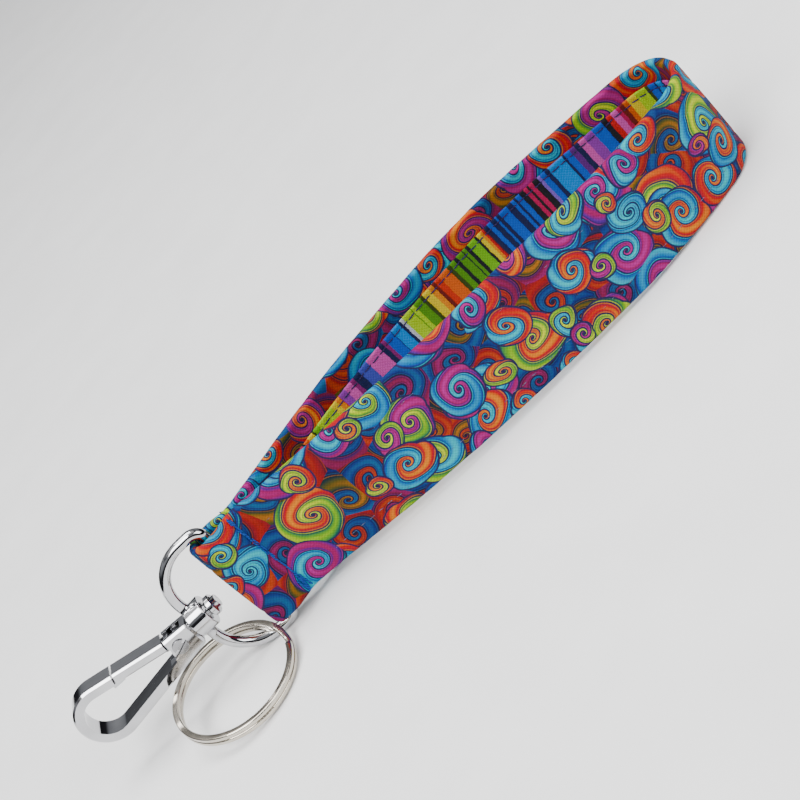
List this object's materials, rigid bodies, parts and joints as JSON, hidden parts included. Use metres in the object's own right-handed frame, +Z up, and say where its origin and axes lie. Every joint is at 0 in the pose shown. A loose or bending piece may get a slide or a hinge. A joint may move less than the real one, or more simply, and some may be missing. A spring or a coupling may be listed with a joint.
{
  "type": "wristlet keychain",
  "caption": "Fabric-covered webbing wrist loop with a striped inner ribbon, folded on a metal D-ring that carries a swivel snap hook and a split key ring.",
  "frame": {"origin": "middle of the bottom of the whole part's box, on the surface that it stands on", "axes": "+Z up, across the strap's width; +X along the strap, from the snap hook to the bend of the loop; +Y to the side that the hook leans to"},
  "size_m": [0.1872, 0.0406, 0.0328],
  "materials": {
    "swirl_print": "printed cotton",
    "webbing": "woven webbing",
    "stripe_ribbon": "printed ribbon",
    "ribbon_thread": "thread",
    "seam_thread": "thread",
    "chrome_plate": "polished",
    "nickel_plate": "polished nickel",
    "spring_wire": "drawn wire"
  },
  "bodies": {
    "strap": {"webbing_core": "webbing", "print_cover": "swirl_print", "stripe_ribbon": "stripe_ribbon", "ribbon_stitching_lower": "ribbon_thread", "ribbon_stitching_upper": "ribbon_thread", "ribbon_end_tack": "ribbon_thread", "cross_seam_thread": "seam_thread", "seam_backtack": "seam_thread"},
    "d_ring": {"d_ring": "chrome_plate"},
    "hook": {"swivel_post": "chrome_plate", "hook_body": "chrome_plate", "gate_rivet": "chrome_plate", "gate_spring": "spring_wire"},
    "gate": {"gate": "chrome_plate"},
    "split_ring": {"split_ring": "nickel_plate"}
  },
  "joints": [
    {"name": "d_ring_swing", "type": "hinge", "parent": "strap", "child": "d_ring", "pos_m": [-0.0434, 0.00152, 0.0164], "axis": [0, 0, 1], "range_deg": [-60, 60]},
    {"name": "hook_swivel", "type": "hinge", "parent": "d_ring", "child": "hook", "pos_m": [-0.05733, 0.00372, 0.0164], "axis": [0.9877, -0.1564, 0], "continuous": true},
    {"name": "gate_hinge", "type": "hinge", "parent": "hook", "child": "gate", "pos_m": [-0.06444, 0.00485, 0.0157], "axis": [-0.1564, -0.9877, 0], "range_deg": [0, 20], "stiffness_Nm_per_rad": 0.01, "springref_deg": -20.05, "deforming": ["gate_spring"]},
    {"name": "key_ring_swing", "type": "hinge", "parent": "d_ring", "child": "split_ring", "pos_m": [-0.05091, 0.00271, 0.0013], "axis": [0.9877, -0.1564, 0], "range_deg": [-10, 12]}
  ]
}
